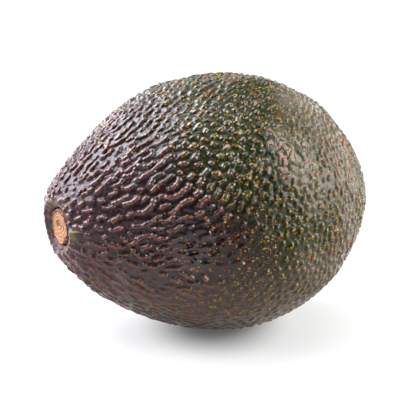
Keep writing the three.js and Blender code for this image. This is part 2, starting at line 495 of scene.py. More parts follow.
def settlePebbles():  # where the pebbles stand
    rows = pebbleRows
    draw = np.random.default_rng(rows["seed"])
    tight = rows["roomOnTop"] ** 2

    def areaAt(polar):
        return tight * pebbleValue("length", polar) * pebbleValue("width", polar)

    polars, turns = np.array(list(spiralPlaces(areaAt, *rows["spiral"]))).T
    kept = draw.uniform(size=len(polars)) < mix(tight, 1, topShare(polars, turns))
    polars, turns = polars[kept], turns[kept]
    stray = draw.uniform(-rows["stray"], rows["stray"], (2, len(polars))) * pebbleValue("width", polars)
    polars, turns = moveOnSkin(polars, turns, leanAt(polars, turns), *stray)
    for _ in range(rows["settleRounds"]):
        polars, turns = pushApart(polars, turns)
    return polars, turns


def scatterPebbles(polars, turns):  # each pebble is a short chain of beads along its own leaning axis
    rows = pebbleRows
    draw = np.random.default_rng(rows["seed"] + 1)
    beads = []
    for polar, turn in zip(polars, turns):
        run = pebbleValue("length", polar) * draw.uniform(rows["shortest"], pebbleValue("chain", polar))
        count = max(1, round(run / rows["beadGap"]))
        leanStray = mix(*rows["leanStray"], smoothStep(polar / math.pi, *rows["leanStrayFrom"]))
        lean = leanAt(polar, turn) + draw.normal(0, leanStray)
        size = pebbleValue("beadSize", polar) * draw.uniform(*rows["sizes"])
        size *= mix(1, rows["sizeOnTop"], closeShare(polar, turn))
        tall = pebbleValue("height", polar) * draw.uniform(*rows["heights"])
        tall *= mix(1, rows["heightOnTop"], topShare(polar, turn))
        bend = draw.normal(0, rows["bend"])
        tint = draw.uniform()
        for bead in range(count):
            step = bead - (count - 1) / 2
            far = step * rows["beadGap"] * size
            across = bend * step ** 2 * rows["beadGap"] + draw.normal(0, rows["beadStray"]) * mm
            beadPolar, beadTurn = moveOnSkin(polar, turn, lean, far, across)
            beads.append((
                beadPolar,
                beadTurn,
                rows["beadLong"] * size * draw.uniform(*rows["beadLengths"]),
                rows["beadWide"] * size * draw.uniform(*rows["beadWidths"]),
                tall * draw.uniform(*rows["beadHeights"]),
                draw.uniform() < pebbleValue("tipShare", polar),
                lean,
                tint,
            ))
    return beads


def scatterDots():  # small warts between and on the pebbles
    dots = dotBeads
    draw = np.random.default_rng(dots["seed"])
    beads = []
    for polar, turn in spiralPlaces(lambda p: dots["spacing"] ** 2, *dots["spiral"]):
        ring = max(radiusAt(polar), 3 * mm)
        along, aside = draw.uniform(-dots["stray"], dots["stray"], 2) * dots["spacing"]
        size = draw.uniform(*dots["sizes"])
        beads.append((
            polar + along / meridianStep(polar),
            turn + aside / ring,
            dots["radius"] * size * draw.uniform(1, dots["longest"]),
            dots["radius"] * size,
            dots["height"] * size * smoothStep(polar, *dots["rise"]),
            draw.uniform() < dots["tipShare"] * pebbleValue("tipShare", polar),
            leanAt(polar, turn),
            draw.uniform(),
        ))
    return beads


def raiseBeads(points, beads):  # relief, tip mask and tint at every point of the smooth egg
    polar, turn, long, wide, tall, tipped, lean, tint = np.array(beads).T
    middles, longAxis, wideAxis = skinAxes(polar, turn, lean)
    bead, point = nearPairs(points, middles, max(long.max(), wide.max()))
    offset = points[point] - middles[bead]
    u = dotRows(offset, longAxis[bead]) / long[bead]
    v = dotRows(offset, wideAxis[bead]) / wide[bead]
    dome = np.clip(1 - u ** 2 - v ** 2, 0, 1)
    lift = dome ** pebbleRows["roundness"] * tall[bead]
    blend = pebbleRows["blend"]
    total = np.zeros(len(points))
    np.add.at(total, point, lift ** blend)
    relief = total ** (1 / blend)
    order = np.argsort(lift)
    tip = np.zeros(len(points))
    tip[point[order]] = (dome * tipped[bead])[order]
    tints = np.zeros(len(points))
    tints[point[order]] = tint[bead][order]
    return relief, tip, tints


def layPlates(points, places):  # flat plates round the pebbles' places, with cracks between them
    p = platePatch
    draw = np.random.default_rng(p["seed"])
    near = np.flatnonzero(plateShare(points) > 0)
    seeds = places[np.linalg.norm(places - np.array(p["middle"]), axis=1) < 1.4 * p["outer"]]
    seeds = seeds[draw.uniform(size=len(seeds)) < p["keep"]]
    warp = np.stack([ripple(points[near], p["warpSize"], p["seed"] + k) for k in range(3)], axis=1)
    gaps = np.linalg.norm((points[near] + p["warp"] * warp)[:, None] - seeds[None], axis=2)
    owner = np.argmin(gaps, axis=1)
    nearest = np.partition(gaps, 1, axis=1)
    whole = smoothStep((nearest[:, 1] - nearest[:, 0]) / 2, *p["crack"])
    lots = draw.uniform(size=len(seeds))
    height = np.zeros(len(points))
    height[near] = p["height"] * whole * (p["heights"][0] + p["heights"][1] * lots[owner])
    mask = np.zeros(len(points))
    mask[near] = whole
    tint = np.zeros(len(points))
    tint[near] = draw.uniform(size=len(seeds))[owner]
    return height, mask, tint


def underShare(turn):  # 1 under the stalk, 0 above it
    return smoothStep(np.cos(turn - stemDimple["underTurn"]), *stemDimple["underSlope"])


def lobeShare(radius, turn):  # one broad smooth fold that runs out from beside the stalk
    d = stemDimple
    away = np.angle(np.exp(1j * (turn - d["lobeTurn"])))
    rise = smoothStep(radius, *d["lobeStart"])
    fall = 1 - smoothStep(radius, d["rimRadius"], d["lobeFade"])
    return bell(away, 0, d["lobeWidth"]) * rise * fall


def foldEdges(radius, turn):  # sharp edges of the pleats that run out from under the stalk
    d = stemDimple
    rise = smoothStep(radius, d["floorRadius"], d["rimRadius"])
    fall = 1 - smoothStep(radius, d["rimRadius"], d["foldFade"])
    uneven = turn
    for size, waves, start in d["foldWander"]:
        uneven = uneven + size * np.cos(waves * turn + start)
    uneven = uneven + d["foldSway"][0] * np.sin(radius / d["foldSway"][1])
    sharp = 1 - np.abs(np.sin(d["foldCount"] / 2 * uneven))
    return rise * fall * sharp * mix(d["foldShareAbove"], 1, underShare(turn))


def foldHeights(radius, turn):  # collar, folds and lobe round the stalk
    d = stemDimple
    folds = d["foldHeight"] * foldEdges(radius, turn)
    collar = d["collarHeight"] * bell(radius, d["collarRadius"], d["collarWidth"])
    return folds + collar + d["lobeHeight"] * lobeShare(radius, turn)


def restTurn():
    dip = eggForm["stemDip"]
    return np.array([[math.cos(dip), 0, -math.sin(dip)], [0, 1, 0], [math.sin(dip), 0, math.cos(dip)]])


def layDown(points):  # turns the fruit to rest and sets it round the CAD button
    turned = restTurn()
    low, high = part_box("stem_button")
    floorX = stemDimple["depth"] - eggForm["length"] / 2
    button = np.array([floorX + stemDimple["buttonMiddle"], 0, eggForm["neckLift"]])
    return points @ turned.T + np.array((low + high) / 2) - turned @ button


def nudgeForm(points, normals):
    for place, reach, height in formNudges:
        far = np.linalg.norm(points - np.array(place) * mm, axis=1) / (reach * mm)
        points = points + normals * (height * mm * np.exp(-far ** 2))[:, None]
    points[:, 2] = np.maximum(points[:, 2], 0)
    return points


def zoneShare(points, name):
    low, high, tilt, wander, size, seed = skinZones[name]
    along = points[:, 0] + tilt * points[:, 2]
    return smoothStep(along + wander * ripple(points, size, seed), low, high)


def addAttributes(mesh, **values):
    for name, value in values.items():
        mesh.attributes.new(name, "FLOAT", "POINT").data.foreach_set("value", value.astype(np.float32))


def makeSkinMesh():
    d = stemDimple
    rows = pebbleRows
    ways, quads, atlas = cubeSphere(skinRelief["perSide"], skinRelief["atlasMargin"])
    points, normals = eggPoints(ways)
    polar = np.arccos(np.clip(-ways[:, 0], -1, 1))
    stemSide = ways[:, 0] < 0
    fromAxis = np.hypot(points[:, 1], points[:, 2] + d["drop"])
    turn = np.arctan2(points[:, 2] + d["drop"], points[:, 1])
    fromStalk = np.where(stemSide, fromAxis, 1.0)  # far away on the blossom half

    # pebbles, warts and plates
    polars, turns = settlePebbles()
    pebbles, pebbleTip, pebbleTint = raiseBeads(points, scatterPebbles(polars, turns))
    dots, dotTip, dotTint = raiseBeads(points, scatterDots())
    plates, plate, plateTint = layPlates(points, eggPoints(wayTo(polars, turns))[0])
    patch = plateShare(points)
    under = underShare(turn)
    lobe = lobeShare(fromStalk, turn)
    grown = smoothStep(fromStalk, mix(d["bareAbove"][0], d["bareUnder"][0], under),
                       mix(d["bareAbove"][1], d["bareUnder"][1], under)) * (1 - d["lobeBare"] * lobe)
    farSide = smoothStep(np.cos(turn - d["farTurn"]), *d["farSlope"])
    grown *= mix(1, mix(d["farShare"], 1, smoothStep(fromStalk, *d["bareFar"])), farSide)
    belly = mix(rows["bellyShare"], 1, smoothStep(normals[:, 2], *rows["bellyFade"]))
    height = pebbleValue("height", polar)
    uneven = sum(size * ripple(points, wave, seed, 24) for size, wave, seed in skinRelief["uneven"])
    pits = pitShare(points)
    sunk = pebbles * mix(1, -pitPatch["depth"], pits) + pitPatch["lift"] * height * pits
    relief = mix(sunk + dots, plates + platePatch["dots"] * dots, patch)
    relief += (uneven - skinRelief["sink"]) * height
    relief *= grown * belly
    nearStalk = 1 - smoothStep(fromStalk, *d["streakFade"])
    streaks = ripple(points * np.array([0.1, 1, 1]), d["streakSize"], 23, 30)
    relief += d["streakHeight"] * streaks * nearStalk * under
    lines = ripple(points * np.array([0.12, 1, 1]), 2 * d["streakSize"], 24, 30)
    # painted highlights along thin lines under the stalk, on fold edges and on the lobe's edge
    hairlines = bell(lines, 0, d["hairlineWidth"])
    edges = np.where(stemSide, foldEdges(fromAxis, turn), 0)
    pale = np.maximum(d["hairlineHighlight"] * hairlines * nearStalk * under, smoothStep(edges, *d["foldHighlight"]))
    lobeEdge = bell(lobe, *d["lobeEdge"]) * (1 - smoothStep(fromStalk, *d["lobeEdgeFade"]))
    pale = np.maximum(pale, d["lobeEdgeHighlight"] * lobeEdge)

    # dimple, socket, folds and the blossom scar
    shoulder = smoothStep(fromStalk, d["floorRadius"], d["rimRadius"])
    points[:, 0] = mix(d["depth"] - eggForm["length"] / 2, points[:, 0], shoulder)
    socketWall = smoothStep(fromStalk, d["socketRadius"] - d["socketWall"], d["socketRadius"])
    points[:, 0] += d["socketDepth"] * (1 - socketWall)
    swell = skinRelief["swell"] * ripple(points, skinRelief["swellSize"], 3) * grown
    folds = np.where(stemSide, foldHeights(fromAxis, turn), 0)
    scarAway = np.where(stemSide, 9, fromAxis / blossomScar["radius"])
    scar = np.exp(-scarAway ** 4)
    lip = bell(scarAway, *blossomScar["lipRing"])
    relief = relief * (1 - scar) + blossomScar["lip"] * lip - blossomScar["depth"] * scar
    points += normals * (relief + swell + folds)[:, None]
    points[:, 2] += eggForm["neckLift"] * ((1 - ways[:, 0]) / 2) ** 2
    mesh = bpy.data.meshes.new("pebbledSkin")
    lying = nudgeForm(layDown(points), normals @ restTurn().T)
    mesh.from_pydata(lying.tolist(), [], quads.tolist())
    mesh.uv_layers.new(name="OFBake").data.foreach_set("uv", atlas.ravel())
    mesh.shade_smooth()

    # what the finish needs to know at each place
    above = smoothStep(np.sin(turn), *d["strawSlope"])
    dryRim = bell(fromStalk, *d["strawRim"]) * above * smoothStep(streaks, *d["strawStreaks"])
    facing = smoothStep(np.cos(turn - d["collarTurn"]), *d["collarSlope"])
    bloom = zoneShare(points, "bloom")
    bloom *= 1 - skinShares["bloomEnd"] * zoneShare(points, "bloomEnd")
    raised = np.maximum(pebbles, dots) / height * (1 - patch)
    tipShare = mix(skinShares["fleckBare"], 1, grown) * (1 - skinShares["fleckPlates"] * patch)
    addAttributes(
        mesh,
        crest=mix(raised, pitPatch["crest"] * np.clip(1 - raised, 0, 1), pits),
        fleck=np.maximum(dotTip, pebbleTip) * tipShare,
        tint=np.where(dots > pebbles, dotTint, pebbleTint),
        hue=zoneShare(points, "hue"),
        green=zoneShare(points, "green"),
        bloom=bloom,
        belly=smoothStep(-normals[:, 2], *skinShares["belly"]),
        plate=plate * patch,
        plateTint=plateTint,
        rose=nearStalk * mix(skinShares["roseAbove"], 1, under),
        pale=pale,
        matte=zoneShare(points, "matte"),
        straw=np.maximum(dryRim, bell(fromStalk, d["collarRadius"], d["collarWidth"]) * facing),
        leafTip=smoothStep(lobe, *d["lobeTip"]) * (1 - smoothStep(fromStalk, *d["lobeTipFade"])),
        scar=np.maximum(scar, blossomScar["lipBrown"] * lip),
    )
    mesh.update()
    return mesh


skin = addObject("pebbledSkin", makeSkinMesh())
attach(skin, "root")
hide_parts("fruit")
print("skin made:", len(skin.data.polygons), "faces")


# the cut stalk left in the dimple

stalkDisc = {
    "radius": 4.9 * mm,
    "root": 2.2 * mm,
    "proud": 0.3 * mm,
    "barkWidth": 0.85 * mm,
    "barkThick": math.radians(130),  # the bark is widest towards this turn
    "barkRise": 0.4 * mm,
    "notch": math.radians(221),
    "notchDepth": 0.5 * mm,
    "notchWidth": 0.12,
    "pith": inMm(1.0, 0.7),  # to the fruit's +Y and +Z from the disc's middle
    "pithRadius": 1.5 * mm,
    "pithDepth": 0.5 * mm,
    "ringSpacing": 0.78 * mm,
    "ringHeight": 0.1 * mm,
    "ringWobble": 0.14 * mm,
    "fineHeight": 0.07 * mm,
    "edgeDrop": 0.25 * mm,
    "foot": ((0.35, 1.0), (1.0, 0.98), (1.8, 0.93), (2.2, 0.8)),  # depth in mm and share of the rim
    "rings": 44,
    "segments": 132,
    "seed": 31,
}


def makeStalkMesh(stalk):
    turn = np.linspace(0, 2 * math.pi, stalk["segments"], endpoint=False)
    share = np.linspace(0, 1, stalk["rings"])[1:]
    s, t = np.meshgrid(share, turn, indexing="ij")
    circle = np.stack([np.cos(t) * 4 * mm, np.sin(t) * 4 * mm, 0 * t], axis=-1).reshape(-1, 3)
    rough = ripple(circle, 2.2 * mm, stalk["seed"])
    outer = stalk["radius"] * (1 - 0.02 + 0.018 * rough.reshape(t.shape))
    radius = s * outer
    y = radius * np.cos(t)
    z = radius * np.sin(t)
    fromPith = np.hypot(y - stalk["pith"][0] * (1 - s), z - stalk["pith"][1] * (1 - s))
    flat = np.stack([y, z, 0 * y], axis=-1).reshape(-1, 3)
    wobble = ripple(flat, 3 * mm, stalk["seed"] + 1).reshape(t.shape)
    fine = ripple(flat, 0.9 * mm, stalk["seed"] + 2, 20).reshape(t.shape)
    inward = outer - radius
    barkWidth = stalk["barkWidth"] * (1 + 0.4 * np.cos(t - stalk["barkThick"]) + 0.3 * wobble)
    bark = 1 - smoothStep(inward, 0.6 * barkWidth, barkWidth)
    roundPith = np.arctan2(z - stalk["pith"][1] * (1 - s), y - stalk["pith"][0] * (1 - s))
    wind = (fromPith + stalk["ringWobble"] * wobble) / stalk["ringSpacing"] + roundPith / (2 * math.pi)
    rings = smoothStep(np.cos(2 * math.pi * wind), 0.1, 1.0)
    height = -stalk["ringHeight"] * rings * (1 - bark)
    away = np.angle(np.exp(1j * (t - stalk["notch"])))
    height -= stalk["notchDepth"] * bell(away, 0, stalk["notchWidth"]) * smoothStep(s, 0.6, 0.8)
    pithEdge = stalk["pithRadius"] * (1 + 0.3 * wobble)
    height -= stalk["pithDepth"] * (1 - smoothStep(fromPith, 0.2 * mm, pithEdge))
    height += stalk["fineHeight"] * fine
    lumps = 0.75 + 0.35 * ripple(flat, 1.8 * mm, stalk["seed"] + 3, 20).reshape(t.shape)
    height += bark * lumps * stalk["barkRise"] * np.sin(np.clip(inward / barkWidth, 0, 1) * math.pi) ** 0.7
    height -= stalk["edgeDrop"] * smoothStep(s, 0.94, 1.0)
    x = -stalk["proud"] - height
    rim = np.stack([x, y, z], axis=-1).reshape(-1, 3)
    middle = np.array([[-stalk["proud"] + stalk["pithDepth"], 0, 0]])
    under = [np.stack([np.full_like(turn, depth * mm), y[-1] * shrink, z[-1] * shrink], axis=1)
             for depth, shrink in stalk["foot"]]
    base = np.array([[stalk["root"], 0, 0]])
    points = np.concatenate([middle, rim] + under + [base])
    count = stalk["segments"]
    loops = len(share) + len(under)
    k = np.arange(count)
    after = (k + 1) % count
    faces = [(0, 1 + b, 1 + a) for a, b in zip(k, after)]
    for loop in range(loops - 1):
        low = 1 + loop * count
        faces += [(low + a, low + b, low + count + b, low + count + a) for a, b in zip(k, after)]
    last = 1 + (loops - 1) * count
    faces += [(last + a, last + b, len(points) - 1) for a, b in zip(k, after)]
    mesh = bpy.data.meshes.new("stalkDisc")
    floorX = stemDimple["depth"] - eggForm["length"] / 2
    placed = layDown(points + np.array([floorX, 0, eggForm["neckLift"] - stemDimple["drop"]]))
    mesh.from_pydata(placed.tolist(), [], faces)
    mesh.shade_smooth()
    below = np.ones(len(under) * count + 1)
    addAttributes(
        mesh,
        bark=np.concatenate([[0], bark.ravel(), below]),
        ring=np.concatenate([[0], rings.ravel(), below]),
        fromPith=np.concatenate([[0], (fromPith / stalk["radius"]).ravel(), below]),
    )
    mesh.update()
    return mesh


stalk = addObject("stalkDisc", makeStalkMesh(stalkDisc))
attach(stalk, "root")
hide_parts("stem_button")
print("stalk made:", len(stalk.data.polygons), "faces")


# shared node helpers

def newMaterial(name):
    material = bpy.data.materials.new(name)
    material.use_nodes = True
    return material, material.node_tree, material.node_tree.nodes["Principled BSDF"]


def plug(tree, socket, value):
    if isinstance(value, bpy.types.NodeSocket):
        tree.links.new(value, socket)
    else:
        socket.default_value = value


def attribute(tree, name):
    node = tree.nodes.new("ShaderNodeAttribute")
    node.attribute_name = name
    return node.outputs["Fac"]


def mixColor(tree, factor, a, b, blend="MIX"):
    node = tree.nodes.new("ShaderNodeMix")
    node.data_type = "RGBA"
    node.blend_type = blend
    for socket, value in ((node.inputs[0], factor), (node.inputs[6], a), (node.inputs[7], b)):
        plug(tree, socket, value)
    return node.outputs[2]


def maths(tree, operation, *values):
    node = tree.nodes.new("ShaderNodeMath")
    node.operation = operation
    for socket, value in zip(node.inputs, values):
        plug(tree, socket, value)
    return node.outputs[0]


def times(tree, a, b):
    return maths(tree, "MULTIPLY", a, b)


def vectorMaths(tree, operation, *values):
    node = tree.nodes.new("ShaderNodeVectorMath")
    node.operation = operation
    for socket, value in zip(node.inputs, values):
        plug(tree, socket, value)
    return node.outputs


def spread(tree, value, fromMin, fromMax, toMin=0.0, toMax=1.0):  # eases one range into another
    node = tree.nodes.new("ShaderNodeMapRange")
    node.interpolation_type = "SMOOTHSTEP"
    names = ("Value", "From Min", "From Max", "To Min", "To Max")
    for name, number in zip(names, (value, fromMin, fromMax, toMin, toMax)):
        plug(tree, node.inputs[name], number)
    return node.outputs["Result"]


def rampColor(tree, value, stops):
    node = tree.nodes.new("ShaderNodeValToRGB")
    elements = node.color_ramp.elements
    while len(elements) < len(stops):
        elements.new(0.5)
    for element, (place, color) in zip(elements, stops):
        element.position = place
        element.color = color
    plug(tree, node.inputs["Fac"], value)
    return node.outputs["Color"]


def addBump(tree, shader, height, depth, strength):
    bump = tree.nodes.new("ShaderNodeBump")
    bump.inputs["Distance"].default_value = depth
    bump.inputs["Strength"].default_value = strength
    tree.links.new(height, bump.inputs["Height"])
    tree.links.new(bump.outputs["Normal"], shader.inputs["Normal"])


def newGroup(name, outputs, **inputs):
    group = bpy.data.node_groups.new(name, "ShaderNodeTree")
    group.interface.new_socket("Vector", in_out="INPUT", socket_type="NodeSocketVector")
    for label, value in inputs.items():
        socket = group.interface.new_socket(label, in_out="INPUT", socket_type="NodeSocketFloat")
        socket.default_value = value
    for label in outputs:
        group.interface.new_socket(label, in_out="OUTPUT", socket_type="NodeSocketFloat")
    start = group.nodes.new("NodeGroupInput")
    end = group.nodes.new("NodeGroupOutput")
    return group, start.outputs, end.inputs


def placeGroup(tree, group, **values):
    node = tree.nodes.new("ShaderNodeGroup")
    node.node_tree = group
    for name, value in values.items():
        plug(tree, node.inputs[name], value)
    return node.outputs


def mottleGroup():  # soft blotches, as a mask and as a height
    group, given, result = newGroup("mottle", ("Mask", "Height"), Size=2 * mm, Low=0.35, High=0.65)
    noise = group.nodes.new("ShaderNodeTexNoise")
    noise.inputs["Detail"].default_value = 3
    plug(group, noise.inputs["Vector"], given["Vector"])
    plug(group, noise.inputs["Scale"], maths(group, "DIVIDE", 1.0, given["Size"]))
    plug(group, result["Mask"], spread(group, noise.outputs["Fac"], given["Low"], given["High"]))
    plug(group, result["Height"], noise.outputs["Fac"])
    return group


def speckleGroup():  # scattered small dots, each with its own tint
    group, given, result = newGroup("speckle", ("Mask", "Tint"), Spacing=1.5 * mm, Share=0.5, Dot=0.3)
    cells = group.nodes.new("ShaderNodeTexVoronoi")
    plug(group, cells.inputs["Vector"], given["Vector"])
    plug(group, cells.inputs["Scale"], maths(group, "DIVIDE", 1.0, given["Spacing"]))
    lots = group.nodes.new("ShaderNodeSeparateColor")
    plug(group, lots.inputs["Color"], cells.outputs["Color"])
    core = times(group, given["Dot"], 0.6)
    inside = spread(group, cells.outputs["Distance"], core, given["Dot"], 1.0, 0.0)
    chosen = maths(group, "LESS_THAN", lots.outputs["Red"], given["Share"])
    plug(group, result["Mask"], times(group, inside, chosen))
    plug(group, result["Tint"], lots.outputs["Green"])
    return group


mottle = mottleGroup()
speckle = speckleGroup()


# skin finish

skinFinish = {
    "aubergine": (0.016, 0.006, 0.008, 1),
    "leafGreen": (0.011, 0.017, 0.0015, 1),
    # partly a waxy bloom, lightened as a painted sheen of the right-hand light
    "bloomGreen": (0.088, 0.077, 0.053, 1),
    # painted reflection of the floor: lighter colours where the skin faces down
    "undersideSheenBrown": (0.088, 0.068, 0.06, 1),
    "undersideSheenGreen": (0.088, 0.07, 0.058, 1),
    "crestRed": (0.105, 0.028, 0.017, 1),
    "crestGreen": (0.048, 0.036, 0.007, 1),
    # the pebbles' tops there, also lightened as a painted sheen
    "crestBloomAndSheen": (0.17, 0.088, 0.06, 1),
    # painted reflection of the floor on the pebbles' tops underneath
    "crestUndersideSheen": (0.115, 0.068, 0.038, 1),
    "crestFade": (0.4, 1.0),
    "crestPatches": (0.35, 0.6, 0.35, 1.0),
    "blotchSize": 3.5 * mm,
    # painted sheen of the right-hand light on the flat plates, pink or grey-green from plate to plate
    "plateSheenPink": (0.25, 0.175, 0.148, 1),
    "plateSheenGreen": (0.16, 0.165, 0.11, 1),
    "plateSheenPatches": {"Size": 2.2 * mm, "Low": 0.42, "High": 0.5},
    "rose": (0.085, 0.048, 0.05, 1),
    "roseShare": 0.7,
    # painted highlight on fold edges, the lobe's edge and thin lines under the stalk
    "paleEdge": (0.24, 0.175, 0.165, 1),
    "paleShare": 0.9,
    "straw": (0.19, 0.135, 0.045, 1),
    "strawShare": 0.6,
    "leafTip": (0.12, 0.095, 0.008, 1),
    "leafTipGrain": (0.35, 0.6, 0.3, 1.0),
    "scarBrown": (0.12, 0.075, 0.04, 1),
    "grain": {"Size": 0.55 * mm, "Low": 0.4, "High": 0.62},
    "coolGrain": (0.6, 0.95, 0.8, 1),  # fine mottling, multiplied in
    "warmGrain": (1.45, 1.0, 1.15, 1),
    "flecks": (  # from the aubergine side to the green one
        (0.05, (0.14, 0.017, 0.011, 1)),
        (0.3, (0.2, 0.044, 0.012, 1)),
        (0.46, (0.31, 0.115, 0.016, 1)),
        (0.6, (0.36, 0.235, 0.015, 1)),
        (0.8, (0.22, 0.24, 0.02, 1)),
    ),
    "hueShare": 0.3,  # of a fleck's colour comes from its place on the fruit
    "drawnOut": (0.6, 1.0, 1.0),  # tips and dashes are longer along the fruit
    "tips": {"Spacing": 0.54 * mm, "Share": 0.6},  # flecks on the pebbles' tops
    "tipDot": (0.52, 0.38),  # their size, smaller in the bloom and its painted sheen
    "tipFade": (0.25, 0.65),
    "tipTint": (0.15, 0.42),  # chance in their colour, for each pebble and for each fleck
    "dashes": {"Spacing": 0.72 * mm, "Share": 0.5, "Dot": 0.27},  # on the aubergine half
    "dashTint": 0.5,
    "dashShare": 0.75,
    "dots": {"Spacing": 0.66 * mm, "Share": 0.5, "Dot": 0.34},  # on the green half
    "dotTint": 0.6,
    "dotHue": 0.6,
    "dotShare": 0.9,
    "halves": (0.1, 0.8),
    "crowd": {"Size": 5 * mm, "Low": 0.3, "High": 0.6},  # where dashes and dots gather
    "roughness": (0.28, 0.42),
    "dullness": 0.2,  # more roughness by the stalk and on the plates
    "ior": 1.3,
    "wax": (0.65, 0.08),  # thin gloss, from the stem side to the blossom one
    "waxOnCrest": (0.0, 0.7, 0.52, 1.45),  # the hollows between pebbles shine less than their tops
    "grazing": (0.5, 0.85),  # more of it where the skin turns away
    "waxRoughness": 0.22,
    "waxIor": 1.5,
    "bumpDepth": 0.04 * mm,
    "bumpStrength": 0.8,
}


def addFlecks(tree, stops, color, flecks, chance, hue, where):
    tint = maths(tree, "MULTIPLY_ADD", flecks["Tint"], chance, hue)
    return mixColor(tree, times(tree, flecks["Mask"], where), color, rampColor(tree, tint, stops))


def skinColor(tree, finish, place, grain):
    names = ("green", "bloom", "belly", "crest", "plate", "hue")
    green, bloom, belly, crest, plate, hue = (attribute(tree, name) for name in names)

    # skin between the pebbles
    base = mixColor(tree, green, finish["aubergine"], finish["leafGreen"])
    base = mixColor(tree, bloom, base, finish["bloomGreen"])
    # painted reflection of the floor on the underside
    undersideSheenColor = mixColor(tree, green, finish["undersideSheenBrown"], finish["undersideSheenGreen"])
    base = mixColor(tree, belly, base, undersideSheenColor)
    rose = times(tree, attribute(tree, "rose"), finish["roseShare"])
    base = mixColor(tree, rose, base, finish["rose"])
    # painted highlights on edges and lines
    pale = times(tree, attribute(tree, "pale"), finish["paleShare"])
    base = mixColor(tree, pale, base, finish["paleEdge"])
    # painted sheen on the plates, in patches
    plates = mixColor(tree, attribute(tree, "plateTint"), finish["plateSheenGreen"], finish["plateSheenPink"])
    plateSheenPatches = placeGroup(tree, mottle, Vector=place, **finish["plateSheenPatches"])
    base = mixColor(tree, times(tree, plate, plateSheenPatches["Mask"]), base, plates)

    # the pebbles' tops
    high = mixColor(tree, green, finish["crestRed"], finish["crestGreen"])
    high = mixColor(tree, bloom, high, finish["crestBloomAndSheen"])
    # and on the pebbles' tops there
    high = mixColor(tree, belly, high, finish["crestUndersideSheen"])
    blotch = placeGroup(tree, mottle, Vector=place, Size=finish["blotchSize"])
    patches = spread(tree, blotch["Height"], *finish["crestPatches"])
    onCrest = times(tree, spread(tree, crest, *finish["crestFade"]), patches)
    color = mixColor(tree, onCrest, base, high)
    shade = mixColor(tree, grain["Mask"], finish["coolGrain"], finish["warmGrain"])
    color = mixColor(tree, 1.0, color, shade, "MULTIPLY")

    # flecks on the tops
    stops = finish["flecks"]
    hue = times(tree, hue, finish["hueShare"])
    drawnOut = vectorMaths(tree, "MULTIPLY", place, finish["drawnOut"])["Vector"]
    tipDot = spread(tree, bloom, 0.0, 1.0, *finish["tipDot"])
    tips = placeGroup(tree, speckle, Vector=drawnOut, Dot=tipDot, **finish["tips"])
    perPebble, perFleck = finish["tipTint"]
    tipHue = maths(tree, "MULTIPLY_ADD", attribute(tree, "tint"), perPebble, hue)
    onTop = spread(tree, attribute(tree, "fleck"), *finish["tipFade"])
    color = addFlecks(tree, stops, color, tips, perFleck, tipHue, onTop)

    # dashes and dots anywhere
    crowd = placeGroup(tree, mottle, Vector=place, **finish["crowd"])["Mask"]
    dashes = placeGroup(tree, speckle, Vector=drawnOut, **finish["dashes"])
    onStemHalf = times(tree, crowd, spread(tree, green, *finish["halves"], finish["dashShare"], 0.0))
    color = addFlecks(tree, stops, color, dashes, finish["dashTint"], hue, onStemHalf)
    dots = placeGroup(tree, speckle, Vector=place, **finish["dots"])
    onGreenHalf = times(tree, crowd, spread(tree, green, *finish["halves"], 0.0, finish["dotShare"]))
    dotHue = times(tree, hue, finish["dotHue"])
    color = addFlecks(tree, stops, color, dots, finish["dotTint"], dotHue, onGreenHalf)

    # dry skin by the stalk and at the blossom scar
    straw = times(tree, attribute(tree, "straw"), finish["strawShare"])
    color = mixColor(tree, straw, color, finish["straw"])
    tipGrain = spread(tree, grain["Height"], *finish["leafTipGrain"])
    color = mixColor(tree, times(tree, attribute(tree, "leafTip"), tipGrain), color, finish["leafTip"])
    return mixColor(tree, attribute(tree, "scar"), color, finish["scarBrown"])


def skinMaterial(finish):
    material, tree, shader = newMaterial("avocadoSkin")
    place = tree.nodes.new("ShaderNodeTexCoord").outputs["Object"]
    grain = placeGroup(tree, mottle, Vector=place, **finish["grain"])
    plug(tree, shader.inputs["Base Color"], skinColor(tree, finish, place, grain))
    shader.inputs["IOR"].default_value = finish["ior"]
    shader.inputs["Coat Roughness"].default_value = finish["waxRoughness"]
    shader.inputs["Coat IOR"].default_value = finish["waxIor"]
    roughness = spread(tree, grain["Height"], 0.3, 0.7, *finish["roughness"])
    dull = maths(tree, "MAXIMUM", attribute(tree, "rose"), attribute(tree, "plate"))
    roughness = maths(tree, "MULTIPLY_ADD", dull, finish["dullness"], roughness)
    plug(tree, shader.inputs["Roughness"], roughness)
    soft = maths(tree, "MAXIMUM", dull, attribute(tree, "matte"))
    soft = maths(tree, "MAXIMUM", soft, attribute(tree, "belly"))
    wax = spread(tree, soft, 0.0, 1.0, *finish["wax"])
    wax = times(tree, wax, spread(tree, attribute(tree, "crest"), *finish["waxOnCrest"]))
    edge = tree.nodes.new("ShaderNodeLayerWeight")
    edge.inputs["Blend"].default_value = 0.5
    grazing = spread(tree, edge.outputs["Facing"], *finish["grazing"])
    plug(tree, shader.inputs["Coat Weight"], maths(tree, "MAXIMUM", wax, grazing))
    addBump(tree, shader, grain["Height"], finish["bumpDepth"], finish["bumpStrength"])
    return material


skin.data.materials.append(skinMaterial(skinFinish))
print("skin material made")


# stalk finish

stalkFinish = {
    "paleWood": (0.42, 0.225, 0.105, 1),
    "ringWood": (0.26, 0.112, 0.046, 1),
    "blotchSize": 1.6 * mm,
    "ringPatches": (0.3, 0.7, 0.35, 1.0),
    "pore": (0.12, 0.05, 0.022, 1),
    "pores": {"Spacing": 0.7 * mm, "Share": 0.35, "Dot": 0.3},
    "poreShare": 0.6,
    "pithBrown": (0.11, 0.045, 0.02, 1),
    "pithFade": (0.1, 0.45, 1.0, 0.0),
    "pithRings": (0.0, 0.8, 0.3, 1.0),
    "bark": (0.07, 0.02, 0.013, 1),
    "barkLight": (0.26, 0.1, 0.06, 1),
    "grain": {"Size": 0.35 * mm, "Low": 0.4, "High": 0.62},
    "roughness": (0.55, 0.8),
    "bumpDepth": 0.1 * mm,
    "bumpStrength": 0.7,
}


